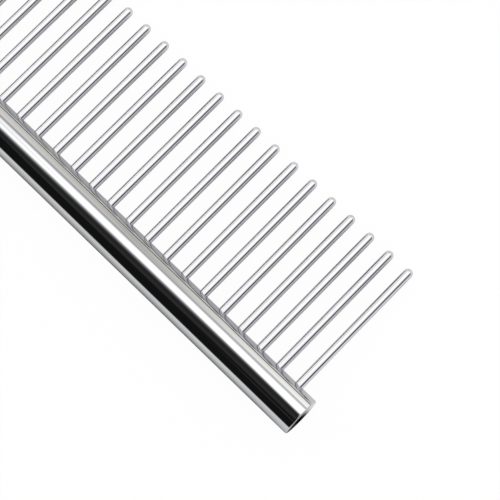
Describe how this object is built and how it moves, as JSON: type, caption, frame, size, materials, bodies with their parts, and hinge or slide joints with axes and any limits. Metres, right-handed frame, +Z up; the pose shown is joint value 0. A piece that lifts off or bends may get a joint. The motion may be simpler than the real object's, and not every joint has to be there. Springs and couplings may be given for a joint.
{
  "type": "grooming comb",
  "caption": "Straight steel grooming comb: a round chromed bar spine with drilled sockets that carry one row of straight round wire teeth with rounded tips.",
  "frame": {"origin": "on the surface that the comb lies on, under the middle of its outline", "axes": "+X along the spine, +Y from the spine towards the tips of the teeth, +Z up. The tooth row slopes down by 5.44 degrees, so that the spine and the tips both touch z = 0"},
  "size_m": [0.1902, 0.035, 0.0075],
  "materials": {
    "chromed_bar": "mirror-bright chrome plate on a turned and polished steel bar",
    "tooth_wire": "bright polished drawn stainless steel wire"
  },
  "bodies": {
    "root": {"spine": "chromed_bar", "tooth_01": "tooth_wire", "tooth_02": "tooth_wire", "tooth_03": "tooth_wire", "tooth_04": "tooth_wire", "tooth_05": "tooth_wire", "tooth_06": "tooth_wire", "tooth_07": "tooth_wire", "tooth_08": "tooth_wire", "tooth_09": "tooth_wire", "tooth_10": "tooth_wire", "tooth_11": "tooth_wire", "tooth_12": "tooth_wire", "tooth_13": "tooth_wire", "tooth_14": "tooth_wire", "tooth_15": "tooth_wire", "tooth_16": "tooth_wire", "tooth_17": "tooth_wire", "tooth_18": "tooth_wire", "tooth_19": "tooth_wire", "tooth_20": "tooth_wire", "tooth_21": "tooth_wire", "tooth_22": "tooth_wire", "tooth_23": "tooth_wire", "tooth_24": "tooth_wire", "tooth_25": "tooth_wire", "tooth_26": "tooth_wire", "tooth_27": "tooth_wire", "tooth_28": "tooth_wire", "tooth_29": "tooth_wire", "tooth_30": "tooth_wire", "tooth_31": "tooth_wire", "tooth_32": "tooth_wire", "tooth_33": "tooth_wire", "tooth_34": "tooth_wire", "tooth_35": "tooth_wire", "tooth_36": "tooth_wire", "tooth_37": "tooth_wire", "tooth_38": "tooth_wire", "tooth_39": "tooth_wire", "tooth_40": "tooth_wire", "tooth_41": "tooth_wire"}
  },
  "joints": []
}
